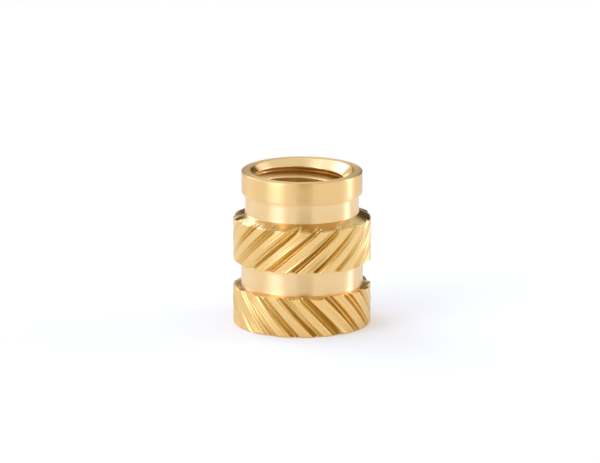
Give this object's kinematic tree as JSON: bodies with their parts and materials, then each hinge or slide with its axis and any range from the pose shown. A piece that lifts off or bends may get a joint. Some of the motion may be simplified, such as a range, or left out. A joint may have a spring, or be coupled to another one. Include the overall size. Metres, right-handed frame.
{
  "type": "threaded insert",
  "caption": "Knurled brass insert that presses or melts into a plastic part and gives it a metal machine-screw thread.",
  "frame": {"origin": "centre of the knurled foot face, on the axis of the hole", "axes": "+Z along the axis of the hole, from the knurled foot towards the smooth collar; +X and +Y square to it"},
  "size_m": [0.007, 0.007, 0.0079],
  "materials": {
    "brass": "turned, bright"
  },
  "bodies": {
    "root": {"insert": "brass"}
  },
  "joints": []
}
